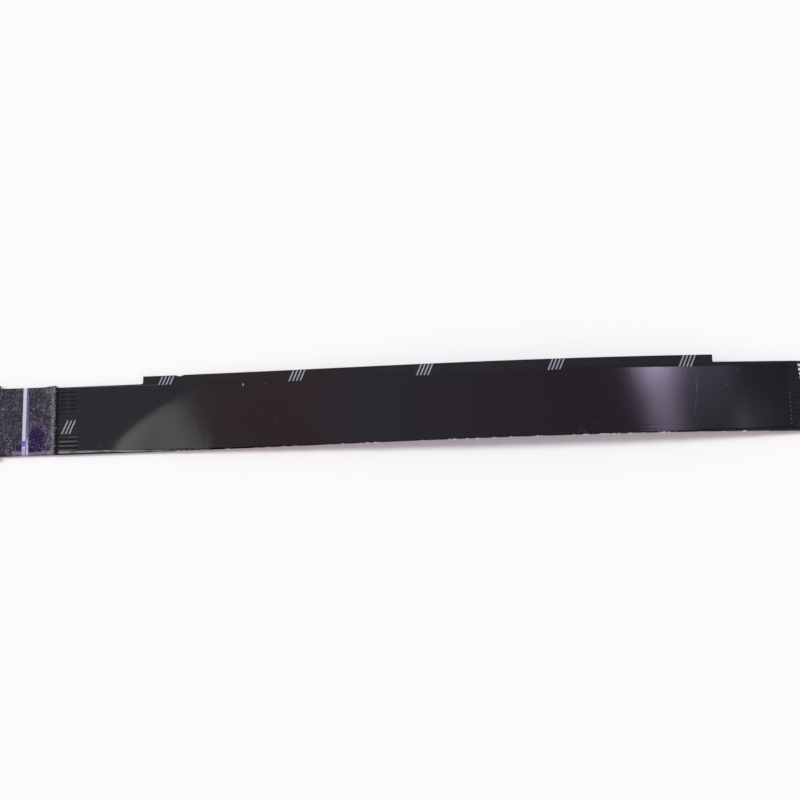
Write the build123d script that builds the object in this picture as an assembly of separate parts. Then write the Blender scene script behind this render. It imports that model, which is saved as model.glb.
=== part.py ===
from build123d import *
from build123d.topology import SkipClean
from dataclasses import dataclass
from math import cos, pi, sin
import os

# A flat flex cable, lying on a table with its middle a little arched.
# Two black films hold flat conductors side by side. A glossy film lies on top,
# a cloth sleeve is wrapped round the left end, and both ends are bare contacts
# backed by a stiffener.
# All sizes are in millimetres. A station is the distance along the cable from
# its left tip. A level is the height above the face that the conductors lie on,
# square to the cable. Y runs across the cable, and the near edge is the low side.

# Conductors
conductor_count = 15
pitch = 0.5
conductor_width = 0.3
conductor_thickness = 0.05

# Films
cable_length = 100.0
side_margin = 0.35
lower_film_thickness = 0.07
upper_film_thickness = 0.07
rib_height = 0.03
rib_side = 0.04
film_end_skew = 0.95

# Contacts, stiffeners and ears
contact_length = 4.3
end_side_margin = 0.225
stiffener_thickness = 0.18
right_stiffener_overlap = 3.7
ear_length = 1.6
ear_width = 0.5
ear_corner_radius = 0.15
tip_chamfer = 0.15

# Cloth sleeve
cloth_length = 6.5
cloth_thickness = 0.08
cloth_seam_gap = 0.5

# Tab along the far edge
tab_start = 22.15
tab_length = 63.7
tab_width = 0.85
tab_step_length = 4.3
tab_step_drop = 0.14
tab_step_slant = 0.3
tab_root_radius = 0.3

# Glossy film
gloss_thickness = 0.05
gloss_width = 7.4
gloss_left_gap = 2.45
gloss_right_gap = 1.2
gloss_left_offset = 0.2
gloss_middle_offset = -0.27
gloss_right_offset = 0.06
gloss_end_skew = 0.3

# How the cable lies
left_flat = 18.0
crest_height = 1.45
tail_beyond_stiffener = 3.0
rise_share = 0.25
climb_share = 0.19
crest_share = 0.28

# How far the cutting blocks reach past what they cut
cutter_reach = 2.0

# Places worked out from the sizes
rib_width = conductor_width + 2 * rib_side
conductor_band = (conductor_count - 1) * pitch + conductor_width
half_body = conductor_band / 2 + side_margin
half_end = conductor_band / 2 + end_side_margin
rib_top = upper_film_thickness + rib_height
gloss_top = rib_top + gloss_thickness
stiffener_bottom = -lower_film_thickness - stiffener_thickness
cloth_start = contact_length + ear_length
cloth_end = cloth_start + cloth_length
right_contact = cable_length - contact_length
tab_end = tab_start + tab_length
gloss_start = cloth_end + gloss_left_gap
gloss_end = right_contact - gloss_right_gap
far_reach = half_body + tab_width + cutter_reach
right_stiffener_start = right_contact - right_stiffener_overlap
tail_length = cable_length - right_stiffener_start + tail_beyond_stiffener
free_length = cable_length - left_flat - tail_length
bed_height = cloth_thickness - stiffener_bottom


@dataclass
class Stretch:
    """One straight or evenly bent length of the cable, seen from the side."""

    start: float
    length: float
    x: float
    z: float
    heading: float
    turn: float

    @property
    def end(self):
        return self.start + self.length

    def spot(self, station, level, y=0.0):
        """Point at a station, a level and a place across the cable."""
        along = station - self.start
        turned = self.turn * along / self.length
        chord = along if turned == 0 else along * sin(turned / 2) / (turned / 2)
        middle, here = self.heading + turned / 2, self.heading + turned
        x = self.x + chord * cos(middle) - level * sin(here)
        z = self.z + chord * sin(middle) + level * cos(here)
        return Vector(x, y, z)

    def edge(self, first, last, level, y):
        """Line or arc of one level between two stations."""
        ends = self.spot(first, level, y), self.spot(last, level, y)
        if self.turn == 0:
            return Line(*ends)
        return ThreePointArc(ends[0], self.spot((first + last) / 2, level, y), ends[1])


def turn_for(height, arc_length, run_length, inset=0.0):
    """Angle at which arcs of this length and a straight run climb to a height."""
    low, high = 1e-9, pi / 4
    for _ in range(60):
        angle = (low + high) / 2
        climb = (arc_length / angle - inset) * (1 - cos(angle)) + run_length * sin(angle)
        low, high = (angle, high) if climb < height else (low, angle)
    return angle


def lay_out():
    """Flat left end, an arc up, a climb, the crest, the fall and a straight tail."""
    rise, climb, crest = (
        share * free_length for share in (rise_share, climb_share, crest_share)
    )
    fall = free_length - rise - climb - crest
    up = turn_for(crest_height, rise + crest, climb)
    drop = bed_height + crest_height + stiffener_bottom
    down = turn_for(drop, fall, tail_length, -stiffener_bottom)
    turns = [
        (left_flat, 0.0), (rise, up), (climb, 0.0), (crest, -up), (fall, -down), (tail_length, 0.0)
    ]
    stretches, station, point, heading = [], 0.0, Vector(0, 0, bed_height), 0.0
    for length, turn in turns:
        stretch = Stretch(station, length, point.X, point.Z, heading, turn)
        stretches.append(stretch)
        station, heading = stretch.end, heading + turn
        point = stretch.spot(station, 0.0)
    return stretches


lay = lay_out()


def spot(station, level=0.0, y=0.0):
    """Point of the whole cable at a station, a level and a place across it."""
    stretch = [s for s in lay if s.start <= station or s is lay[0]][-1]
    return stretch.spot(station, level, y)


def band(first, last, low, high, near, far):
    """Layer between two stations, two levels and two places across the cable."""
    lower, upper = [], []
    for stretch in lay:
        begin, finish = max(first, stretch.start), min(last, stretch.end)
        if stretch is lay[0]:
            begin = first
        if stretch is lay[-1]:
            finish = last
        if finish - begin > 1e-6:
            lower.append(stretch.edge(begin, finish, low, near))
            upper.append(stretch.edge(begin, finish, high, near))
    ends = [
        Line(spot(station, low, near), spot(station, high, near)) for station in (first, last)
    ]
    side = Face(Wire(lower + upper + ends))
    return extrude(side, amount=far - near, dir=(0, 1, 0))


def plate(first, last, near, far):
    """Rectangle of a die-cut outline, seen from above, between two stations."""
    start, end = spot(first).X, spot(last).X
    middle = Pos((start + end) / 2, (near + far) / 2)
    return middle * Rectangle(end - start, far - near)


def die(outline):
    """Upright block of an outline, taller than the cable lies."""
    height = bed_height + crest_height + 2 * cutter_reach
    return Pos(0, 0, -cutter_reach) * extrude(outline, amount=height, dir=(0, 0, 1))


def tab_outline():
    """Tab with its lower first stretch and the slanted step up to full width."""
    edge = half_body + tab_width
    step = tab_start + tab_step_length
    corners = [
        (spot(tab_start).X, half_body - side_margin),
        (spot(tab_start).X, edge - tab_step_drop),
        (spot(step).X, edge - tab_step_drop),
        (spot(step + tab_step_slant).X, edge),
        (spot(tab_end).X, edge),
        (spot(tab_end).X, half_body - side_margin),
    ]
    return make_face(Polyline(*corners, close=True))


def laminate_outline():
    """Die-cut outline shared by both films: trimmed end, ears, body and tab."""
    narrow = plate(0, cloth_end, -half_end, half_end)
    ear_reach = half_end + ear_width
    ears = plate(contact_length, cloth_start, -ear_reach, ear_reach)
    ears = fillet(ears.vertices(), ear_corner_radius)
    body = plate(cloth_end, cable_length, -half_body, half_body)
    outline = narrow + ears + body + tab_outline()
    roots = [
        corner for corner in outline.vertices()
        if abs(corner.Y - half_body) < 1e-4
        and spot(tab_start).X - 1e-4 < corner.X < spot(tab_end).X + 1e-4
    ]
    outline = fillet(roots, tab_root_radius)
    tips = outline.vertices().group_by(Axis.X)
    return chamfer(tips[0] + tips[-1], tip_chamfer)


def covered_outline():
    """Where the upper film covers the conductors, up to its end, which is cut askew."""
    start, middle = spot(contact_length).X, spot(right_contact).X
    lean = film_end_skew / (2 * half_body)
    corners = [
        (start, -far_reach),
        (middle + lean * far_reach, -far_reach),
        (middle - lean * far_reach, far_reach),
        (start, far_reach),
    ]
    return make_face(Polyline(*corners, close=True))


def gloss_outline():
    """Strip of even width, laid on a little bowed, with its right end askew."""
    start, end = spot(gloss_start).X, spot(gloss_end).X
    half = gloss_width / 2
    near, far = (
        ThreePointArc(
            (start, gloss_left_offset + side),
            ((start + end) / 2, gloss_middle_offset + side),
            (end - gloss_end_skew / 2 * side / half, gloss_right_offset + side),
        )
        for side in (-half, half)
    )
    ends = [Line(near @ place, far @ place) for place in (0, 1)]
    return make_face([near, ends[1], far, ends[0]])


def conductor_places():
    """Where the middle of each conductor lies across the cable."""
    return [(index - (conductor_count - 1) / 2) * pitch for index in range(conductor_count)]


def make_lower_film():
    sheet = band(0, cable_length, -lower_film_thickness, 0, -far_reach, far_reach)
    return sheet & die(laminate_outline())


def make_upper_film():
    """Film pressed down between the conductors, with a rib over each of them."""
    reach = right_contact + film_end_skew
    outline = laminate_outline() & covered_outline()
    film = band(contact_length, reach, 0, rib_top, -far_reach, far_reach) & die(outline)
    span = contact_length - cutter_reach, cable_length
    edges = [-far_reach - cutter_reach]
    for y in conductor_places():
        edges += [y - rib_width / 2, y + rib_width / 2]
    edges.append(far_reach + cutter_reach)
    valleys = [
        band(*span, upper_film_thickness, rib_top + cutter_reach, near, far)
        for near, far in zip(edges[::2], edges[1::2])
    ]
    half = conductor_width / 2
    channels = [
        band(*span, -cutter_reach, conductor_thickness, y - half, y + half)
        for y in conductor_places()
    ]
    return film - valleys - channels


def make_conductor(y):
    """Flat conductor, with its bare contacts as faces of their own beyond the film."""
    half = conductor_width / 2
    conductor = band(0, cable_length, 0, conductor_thickness, y - half, y + half)
    cover = die(covered_outline())
    covered, bare = conductor & cover, conductor - cover
    with SkipClean():
        return covered + bare


def make_gloss_film():
    reach = gloss_start - cutter_reach, gloss_end + cutter_reach
    return band(*reach, rib_top, gloss_top, -far_reach, far_reach) & die(gloss_outline())


def make_stiffener(first, last):
    sheet = band(first, last, stiffener_bottom, -lower_film_thickness, -far_reach, far_reach)
    return sheet & die(laminate_outline())


def make_left_stiffener():
    """Backing strip, with its bare end as a face of its own up to the sleeve."""
    bare, wrapped = make_stiffener(0, cloth_start), make_stiffener(cloth_start, cloth_end)
    with SkipClean():
        return bare + wrapped


def make_cloth_sleeve():
    """Strip of cloth folded round the end, its two edges meeting underneath."""
    outer = half_end + cloth_thickness
    bottom, top = stiffener_bottom - cloth_thickness, rib_top + cloth_thickness
    sleeve = band(cloth_start, cloth_end, bottom, top, -outer, outer)
    inside = cloth_start - cutter_reach, cloth_end + cutter_reach
    hollow = band(*inside, stiffener_bottom, rib_top, -half_end, half_end)
    seam = band(
        *inside, bottom - cutter_reach / 2, (stiffener_bottom + rib_top) / 2,
        -cloth_seam_gap / 2, cloth_seam_gap / 2,
    )
    return sleeve - hollow - seam


def make_parts():
    parts = {
        "lower_film": make_lower_film(),
        "upper_film": make_upper_film(),
        "gloss_film": make_gloss_film(),
        "cloth_sleeve": make_cloth_sleeve(),
        "left_stiffener": make_left_stiffener(),
        "right_stiffener": make_stiffener(right_stiffener_start, cable_length),
    }
    for number, y in enumerate(conductor_places(), start=1):
        parts[f"conductor_{number:02d}"] = make_conductor(y)
    return parts


def main():
    """Write each piece, with the origin at the middle of the base."""
    parts = make_parts()
    box = Compound(children=[Compound(piece.solids()) for piece in parts.values()]).bounding_box()
    centre = Pos(-box.center().X, -box.center().Y, -box.min.Z)
    os.makedirs("parts", exist_ok=True)
    for name, piece in parts.items():
        export_step(centre * piece, f"parts/{name}.step")


main()
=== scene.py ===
"""The look of a flat flex cable that lies on a pale table with its middle a little raised.

Sizes are in millimetres and are turned to metres where a mesh is made. A station is the
distance along the cable from its left tip. A place is the distance across it from its
middle line, and the near edge has the low places. A level is the height above the face
that the conductors lie on, square to the cable.
"""

import logging
import random
from bisect import bisect_right
from dataclasses import dataclass, field
from enum import Enum
from math import cos, floor, pi, radians, sin
from typing import Callable, Iterable

import bpy
from mathutils import Matrix, Vector, noise


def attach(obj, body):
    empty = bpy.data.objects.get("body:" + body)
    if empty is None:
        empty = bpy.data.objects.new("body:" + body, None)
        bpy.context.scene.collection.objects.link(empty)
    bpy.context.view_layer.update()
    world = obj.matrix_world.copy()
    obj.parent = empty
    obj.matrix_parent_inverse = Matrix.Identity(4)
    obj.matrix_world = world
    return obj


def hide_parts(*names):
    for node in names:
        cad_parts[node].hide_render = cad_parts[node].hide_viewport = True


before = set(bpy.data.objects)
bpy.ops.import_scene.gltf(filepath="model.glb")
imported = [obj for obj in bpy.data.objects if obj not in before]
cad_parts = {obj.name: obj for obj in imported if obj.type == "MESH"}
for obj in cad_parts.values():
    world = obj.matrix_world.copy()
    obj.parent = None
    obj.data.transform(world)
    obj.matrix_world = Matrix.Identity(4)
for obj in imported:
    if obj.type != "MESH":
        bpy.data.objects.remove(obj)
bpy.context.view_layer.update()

MM = 0.001
STEP = 0.004
START = -49.965
MIDDLE = -0.2375
PITCH = 0.5
CLOTH = (5.9, 12.4)
LOG = logging.getLogger("flat_flex_cable")

Piece = bpy.types.Object
Material = bpy.types.Material
Socket = bpy.types.NodeSocket
Looks = dict[str, object]
Point = tuple[float, float]
Numbers = tuple[float, float, float]
Colour = tuple[float, float, float]
Face = tuple[int, ...]
Surface = Callable[[float, float, float], Vector]
Height = Callable[[float, float], float]


def smooth(low: float, high: float, value: float) -> float:
    """Smooth step of a value, from 0 at low to 1 at high."""
    share = min(max((value - low) / (high - low), 0.0), 1.0)
    return share * share * (3.0 - 2.0 * share)


def ripple(along: float, across: float, seed: float) -> float:
    """Even noise between about -1 and 1, the same on every run."""
    return noise.noise(Vector((along, across, seed)))


def even(first: float, last: float, step: float) -> list[float]:
    """Evenly spaced values from first to last, about a step apart."""
    count = max(1, round((last - first) / step))
    return [first + (last - first) * index / count for index in range(count + 1)]


def merged(*groups: list[float]) -> list[float]:
    """All values of the groups in order, leaving out those that nearly repeat."""
    values: list[float] = []
    for value in sorted(value for group in groups for value in group):
        if not values or value - values[-1] > STEP / 4:
            values.append(value)
    return values


# The line that the cable follows


@dataclass
class Route:
    """The cable's side view, as one smooth curve that lies on the table.

    Args:
        points: Control points of the curve, each along the table and up from it.
        length: The cable's length.
    """

    points: tuple[Point, ...] = (
        (START, 0.33), (-44.969, 0.333), (-34.976, 0.325), (-24.983, 0.351),
        (-14.991, 0.678), (-4.998, 1.15), (4.995, 1.582), (14.987, 1.79),
        (24.98, 1.766), (34.973, 1.359), (44.965, 0.61), (49.962, 0.249),
    )
    length: float = 100.0
    line: list[Vector] = field(init=False)
    marks: list[float] = field(init=False)
    leans: list[Vector] = field(init=False)

    def __post_init__(self) -> None:
        """Read the smooth curve's own points and measure along them."""
        curve = bpy.data.curves.new("route", "CURVE")
        curve.dimensions = "3D"
        curve.resolution_u = 40
        spline = curve.splines.new("NURBS")
        spline.points.add(len(self.points) - 1)
        for point, (along, up) in zip(spline.points, self.points):
            point.co = (along, 0.0, up, 1.0)
        spline.order_u = 3
        spline.use_endpoint_u = True
        holder = bpy.data.objects.new("route", curve)
        mesh = bpy.data.meshes.new_from_object(holder)
        self.line = [vertex.co.copy() for vertex in mesh.vertices]
        bpy.data.objects.remove(holder)
        bpy.data.meshes.remove(mesh)
        bpy.data.curves.remove(curve)
        self.marks = [0.0]
        for before, after in zip(self.line, self.line[1:]):
            self.marks.append(self.marks[-1] + (after - before).length)
        stretch = self.length / self.marks[-1]
        self.marks = [mark * stretch for mark in self.marks]
        last = len(self.line) - 1
        self.leans = [
            (self.line[min(index + 1, last)] - self.line[max(index - 1, 0)]).normalized()
            for index in range(last + 1)
        ]

    def spot(self, station: float, place: float, level: float) -> Vector:
        """Point of the cable in metres.

        Args:
            station: Distance along the cable.
            place: Distance across it.
            level: Height above the conductors' face.

        Returns:
            The point, in the shared frame.
        """
        index = min(max(bisect_right(self.marks, station) - 1, 0), len(self.marks) - 2)
        share = (station - self.marks[index]) / (self.marks[index + 1] - self.marks[index])
        point = self.line[index].lerp(self.line[index + 1], share)
        lean = self.leans[index].lerp(self.leans[index + 1], min(max(share, 0.0), 1.0))
        lean.normalize()
        return Vector((
            point.x - level * lean.z, MIDDLE + place, point.z + level * lean.x
        )) * MM

    def middle_line(self, first: float, last: float, level: float) -> list[Vector]:
        """The curve's own points between two stations, at a level, in metres."""
        return [
            self.spot(mark, 0.0, level) for mark in self.marks if first <= mark <= last
        ]


# Sheets


@dataclass(frozen=True)
class Edge:
    """One long edge of a sheet, as stations with the places that the edge has there."""

    points: tuple[Point, ...]

    def place(self, station: float) -> float:
        """Place of the edge at a station."""
        index = bisect_right([point[0] for point in self.points], station) - 1
        index = min(max(index, 0), len(self.points) - 2)
        (first, start), (last, end) = self.points[index:index + 2]
        share = min(max((station - first) / (last - first), 0.0), 1.0)
        return start + (end - start) * share

    def stations(self) -> list[float]:
        """Stations at which the edge turns."""
        return [point[0] for point in self.points]


def rounded(corners: list[Numbers]) -> Edge:
    """Edge along corners that each have a radius.

    Args:
        corners: Station, place and radius of each corner, with rising stations.

    Returns:
        The edge, with its upright stretches leaning by a hair so that stations rise.
    """
    points: list[Point] = []
    for index, (station, place, radius) in enumerate(corners):
        here = Vector((station, place))
        if radius == 0 or index in (0, len(corners) - 1):
            points.append((station, place))
            continue
        back = (Vector(corners[index - 1][:2]) - here).normalized()
        ahead = (Vector(corners[index + 1][:2]) - here).normalized()
        for turn in (0.0, 0.3, 0.5, 0.7, 1.0):
            start, end = here + back * radius, here + ahead * radius
            near, far = start.lerp(here, turn), here.lerp(end, turn)
            spot = near.lerp(far, turn)
            points.append((spot.x, spot.y))
    rising: list[Point] = []
    for station, place in points:
        if rising and station <= rising[-1][0]:
            station = rising[-1][0] + STEP
        rising.append((station, place))
    return Edge(tuple(rising))


@dataclass
class Sheet:
    """A thin closed sheet, made of rows of points across the cable.

    Args:
        name: Name of the piece.
        surface: Turns a station, a place and a level into a point.
        stations: Where the rows are.
        places: Gives the places across one row, as many in each.
        top: Level of the upper face.
        underside: Level of the lower face.
    """

    name: str
    surface: Surface
    stations: list[float]
    places: Callable[[float], list[float]]
    top: Height
    underside: Height

    def build(self) -> Piece:
        """Make the closed mesh, smooth but for its cut edges."""
        upper: list[Vector] = []
        lower: list[Vector] = []
        for station in self.stations:
            for place in self.places(station):
                upper.append(self.surface(station, place, self.top(station, place)))
                lower.append(self.surface(station, place, self.underside(station, place)))
        rows, wide = len(self.stations), len(upper) // len(self.stations)
        below = len(upper)
        faces: list[Face] = []
        for row in range(rows - 1):
            for column in range(wide - 1):
                a = row * wide + column
                b, c, d = a + wide, a + wide + 1, a + 1
                faces.append((a, b, c, d))
                faces.append((d + below, c + below, b + below, a + below))
        rim = list(range(wide))
        rim += [row * wide + wide - 1 for row in range(1, rows)]
        rim += [(rows - 1) * wide + column for column in range(wide - 2, -1, -1)]
        rim += [row * wide for row in range(rows - 2, 0, -1)]
        for here, following in zip(rim, rim[1:] + rim[:1]):
            faces.append((here, following, following + below, here + below))
        return solid(self.name, upper + lower, faces)


def solid(
    name: str, points: list[Vector], faces: list[Face], sharp: float = 42.0
) -> Piece:
    """Object of a mesh, smooth but where it turns by more than an angle.

    Args:
        name: Name of the piece.
        points: Its corners, in metres.
        faces: Its faces, by their corners.
        sharp: Angle in degrees from which an edge stays sharp.

    Returns:
        The object, linked to the scene.
    """
    mesh = bpy.data.meshes.new(name)
    mesh.from_pydata([tuple(point) for point in points], [], faces)
    mesh.validate()
    for face in mesh.polygons:
        face.use_smooth = True
    mesh.set_sharp_from_angle(angle=radians(sharp))
    piece = bpy.data.objects.new(name, mesh)
    bpy.context.scene.collection.objects.link(piece)
    return piece


# Shader maths


def operator(operation: str, swapped: bool = False) -> Callable[..., "Value"]:
    """Operator that adds a Math node.

    Args:
        operation: Operation of the node.
        swapped: Whether the value is the second operand.

    Returns:
        The method for the class of values.
    """

    def method(self: "Value", *others: "Operand") -> "Value":
        """Math node of the value and the other operand."""
        return self.tree.maths(operation, *((*others, self) if swapped else (self, *others)))

    return method


class Value:
    """A shader socket that takes part in Python arithmetic.

    With masks, | is the larger of two and & the smaller.
    """

    __add__, __radd__ = operator("ADD"), operator("ADD", True)
    __sub__, __rsub__ = operator("SUBTRACT"), operator("SUBTRACT", True)
    __mul__, __rmul__ = operator("MULTIPLY"), operator("MULTIPLY", True)
    __truediv__, __pow__ = operator("DIVIDE"), operator("POWER")
    __mod__, __abs__ = operator("FLOORED_MODULO"), operator("ABSOLUTE")
    __or__, __and__ = operator("MAXIMUM"), operator("MINIMUM")

    def __init__(self, tree: "Nodes", socket: Socket) -> None:
        """Keep the socket and the tree that it is in."""
        self.tree = tree
        self.socket = socket

    def above(self, low: float, high: float) -> "Value":
        """Mask that rises smoothly from 0 at low to 1 at high."""
        limits = {"Value": self, "From Min": low, "From Max": high}
        return self.tree.value("MapRange", "Result", {"interpolation_type": "SMOOTHSTEP"}, limits)

    def below(self, low: float, high: float) -> "Value":
        """Mask that falls smoothly from 1 at low to 0 at high."""
        return 1.0 - self.above(low, high)

    def within(self, first: float, last: float, blur: float) -> "Value":
        """Mask of a span, with soft ends."""
        return self.above(first, first + blur) * self.below(last - blur, last)

    def at(self, centre: float, low: float, high: float) -> "Value":
        """Mask of a line, from 1 nearer to its centre than low to 0 past high."""
        return abs(self - centre).below(low, high)


Operand = Value | float


def oval(first: Value, wide: float, second: Value, high: float) -> Value:
    """Square of the distance from the middle of an oval, as 1 at its rim."""
    first, second = first / wide, second / high
    return first * first + second * second


class Nodes:
    """Node tree of a material or of the world."""

    def __init__(self, owner: Material | bpy.types.World) -> None:
        """Empty the node tree of its owner."""
        owner.use_nodes = True
        self.nodes = owner.node_tree.nodes
        self.links = owner.node_tree.links
        self.nodes.clear()

    def node(
        self, kind: str, settings: Looks | None = None, inputs: dict | None = None
    ) -> bpy.types.Node:
        """Add a node, with its settings first and then its inputs.

        Args:
            kind: Type of the node, without the words that all types begin with.
            settings: Properties of the node.
            inputs: Values or links of its sockets, by name or number.

        Returns:
            The node.
        """
        node = self.nodes.new("ShaderNode" + kind)
        for key, value in (settings or {}).items():
            setattr(node, key, value)
        for key, value in (inputs or {}).items():
            socket = node.inputs[key]
            value = value.socket if isinstance(value, Value) else value
            if isinstance(value, Socket):
                self.links.new(value, socket)
            else:
                socket.default_value = (*value, 1.0) if socket.type == "RGBA" else value
        return node

    def value(
        self, kind: str, output: str, settings: Looks | None = None, inputs: dict | None = None
    ) -> Value:
        """Number that a new node puts out, by the name of its output."""
        return Value(self, self.node(kind, settings, inputs).outputs[output])

    def maths(self, operation: str, *values: Operand) -> Value:
        """Math node of an operation on up to three values."""
        return self.value("Math", "Value", {"operation": operation}, dict(enumerate(values)))

    def vector(self, operation: str, inputs: dict) -> Socket:
        """Vector Math node of an operation on its inputs."""
        return self.node("VectorMath", {"operation": operation}, inputs).outputs["Vector"]

    def axes(self, vector: Socket) -> list[Value]:
        """The three numbers of a vector."""
        outputs = self.node("SeparateXYZ", {}, {"Vector": vector}).outputs
        return [Value(self, output) for output in outputs]

    def mix(self, colour: Socket | Colour, *coats: tuple[Operand, Socket | Colour]) -> Socket:
        """Colour with others laid over it in turn.

        Args:
            colour: The colour underneath.
            *coats: Mask and colour of each one over it.

        Returns:
            Socket of the colour on top.
        """
        for mask, coat in coats:
            settings = {"data_type": "RGBA", "clamp_factor": True}
            colour = self.node("Mix", settings, {0: mask, 6: colour, 7: coat}).outputs[2]
        return colour


class Tree(Nodes):
    """Node tree of one material, with the coordinates of the cable in millimetres."""

    def __init__(self, name: str) -> None:
        """Make an empty material."""
        self.material = bpy.data.materials.new(name)
        super().__init__(self.material)
        spot = self.node("TexCoord").outputs["Object"]
        self.spot = self.vector("SCALE", {"Vector": spot, "Scale": 1 / MM})
        along, across, _ = self.axes(self.spot)
        self.station, self.place = along - START, across - MIDDLE

    def rib(self) -> Value:
        """Distance from the crest of the nearest rib, in pitches."""
        return abs((self.place * (1 / PITCH) + 20.5) % 1.0 - 0.5)

    def stretched(self, scale: Numbers | float) -> Socket:
        """The coordinates, each multiplied by its own number, or all by one."""
        each = scale if isinstance(scale, tuple) else (scale, scale, scale)
        return self.vector("MULTIPLY", {0: self.spot, 1: each})

    def cloud(
        self, scale: Numbers | float, detail: float = 3.0, rough: float = 0.55
    ) -> Value:
        """Noise with so many waves to the millimetre each way."""
        inputs = {"Vector": self.stretched(scale), "Detail": detail, "Roughness": rough}
        return self.value("TexNoise", "Fac", {}, inputs | {"Scale": 1.0})

    def specks(self, scale: float, radius: float, share: float) -> Value:
        """Mask of small round specks.

        Args:
            scale: Cells to the millimetre.
            radius: Size of a speck, in cells.
            share: Share of the cells that hold one.

        Returns:
            The mask.
        """
        cells = self.node("TexVoronoi", {}, {"Vector": self.stretched(scale), "Scale": 1.0})
        parts = self.node("SeparateColor", {}, {"Color": cells.outputs["Color"]})
        inside = Value(self, cells.outputs["Distance"]).below(radius * 0.6, radius)
        return inside * self.maths("LESS_THAN", Value(self, parts.outputs["Red"]), share)

    def bump(self, height: Value, depth: float) -> Socket:
        """Normal of a relief that is so many millimetres deep."""
        inputs = {"Height": height, "Distance": depth * MM, "Strength": 1.0}
        return self.node("Bump", {}, inputs).outputs["Normal"]


# Finishes


@dataclass(frozen=True)
class Finish:
    """Common base of the finishes."""

    name: str = "finish"

    def looks(self, tree: Tree) -> Looks:
        """Values and links of the shader's sockets, by name."""
        raise NotImplementedError

    def make(self) -> Material:
        """Make the material, which ends in one shader."""
        tree = Tree(self.name)
        shader = tree.node("BsdfPrincipled", {}, self.looks(tree))
        tree.node("OutputMaterial", {}, {"Surface": shader.outputs["BSDF"]})
        return tree.material


@dataclass(frozen=True)
class BlackFilm(Finish):
    """Dull black polyester film, with its cut edges scuffed pale."""

    name: str = "black_film"
    black: Colour = (0.0088, 0.0078, 0.0098)
    dusty: Colour = (0.0135, 0.0125, 0.0155)
    scuffed: Colour = (0.16, 0.15, 0.17)
    dust: Colour = (0.25, 0.24, 0.26)
    near_edge: float = -3.96

    def marks(self, _tree: Tree, colour: Socket) -> Socket:
        """Add what is seen on this film only, which is nothing on a plain one."""
        return colour

    def looks(self, tree: Tree) -> Looks:
        """Haze, the torn near edge, the film's own marks and dust."""
        haze, grain = tree.cloud(0.9, 4.0), tree.cloud((22.0, 14.0, 22.0))
        torn = tree.cloud((1.7, 0.4, 0.4), 5.0, 0.7).above(0.56, 0.66)
        edge = tree.place.below(self.near_edge - 0.02, self.near_edge + 0.03) * torn
        colour = tree.mix(
            self.black, (haze.above(0.4, 0.75) * 0.6, self.dusty), (edge * 0.8, self.scuffed)
        )
        dust = tree.specks(2.3, 0.16, 0.08) * 0.15
        return {
            "Base Color": tree.mix(self.marks(tree, colour), (dust, self.dust)),
            "Roughness": 0.3 + haze * 0.1 + grain * 0.05, "Specular IOR Level": 0.2,
            "Normal": tree.bump(grain, 0.0015),
        }


@dataclass(frozen=True)
class PressedFilm(BlackFilm):
    """The upper film, with glue along its near edge, and painted highlights, painted shade and a
    painted reflection tint on it.
    """

    name: str = "pressed_film"
    glue: Colour = (0.235, 0.235, 0.25)
    painted_highlight: Colour = (0.085, 0.085, 0.09)
    painted_shade: Colour = (0.001, 0.001, 0.0015)
    pressed: Colour = (0.0155, 0.0142, 0.0175)
    painted_reddish_reflection: Colour = (0.0112, 0.0052, 0.0078)
    pale: Colour = (0.12, 0.10, 0.11)
    glued: Point = (12.5, 30.0)
    bare: Point = (12.7, 15.0)
    first_dash: Point = (12.76, 13.44)
    second_dash: Point = (13.83, 14.5)

    def marks(self, tree: Tree, colour: Socket) -> Socket:
        """Add the painted highlight and painted shade on the ribs and by the glue line, the glue,
        a painted reflection tint and the pale far line.
        """
        station, place, rib = tree.station, tree.place, tree.rib()
        wavy = place + tree.cloud((0.55, 0.0, 0.0)) * 0.16 * station.above(18.5, 21.0)
        uneven = tree.cloud((0.8, 0.3, 0.3)).above(0.35, 0.55)
        glued = station.within(*self.glued, 0.3)
        squeezed = wavy.within(-3.87, -3.58, 0.05) * glued * (0.5 + uneven * 0.5)
        dashes = station.within(*self.first_dash, 0.1) | station.within(*self.second_dash, 0.1)
        low = place.below(-2.6, -1.5) * station.within(*self.bare, 0.1)
        # painted shade: the grooves go near-black in two dashes across the far ribs and beside the
        # bare low ribs
        painted_shade = rib.above(0.22, 0.36) * (dashes * place.above(0.4, 1.4) | low) * 0.95
        # painted highlight: the crests of the low bare ribs are lightened in patches
        painted_crest_highlight = rib.below(0.1, 0.28) * low * tree.cloud((0.6, 1.3, 0.6), 2.0).above(0.3, 0.65)
        rim = place.within(3.74, 3.83, 0.03) * station.within(12.8, 25.0, 0.5)
        rim = rim * (0.4 + tree.cloud((0.5, 0.1, 0.1), 2.0).above(0.35, 0.6) * 0.6)
        # painted shade: a near-black line along the glued near edge; painted reflection: the
        # reddish tint along the tab
        return tree.mix(
            colour, (station.below(14.9, 15.1), self.pressed),
            (station.within(26.0, 50.0, 5.0) * 0.8, self.painted_reddish_reflection), (painted_crest_highlight, self.painted_highlight),
            (painted_shade, self.painted_shade), (squeezed, self.glue),
            (wavy.within(-4.2, -3.89, 0.03) * glued, self.painted_shade), (rim, self.pale),
        )


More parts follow.
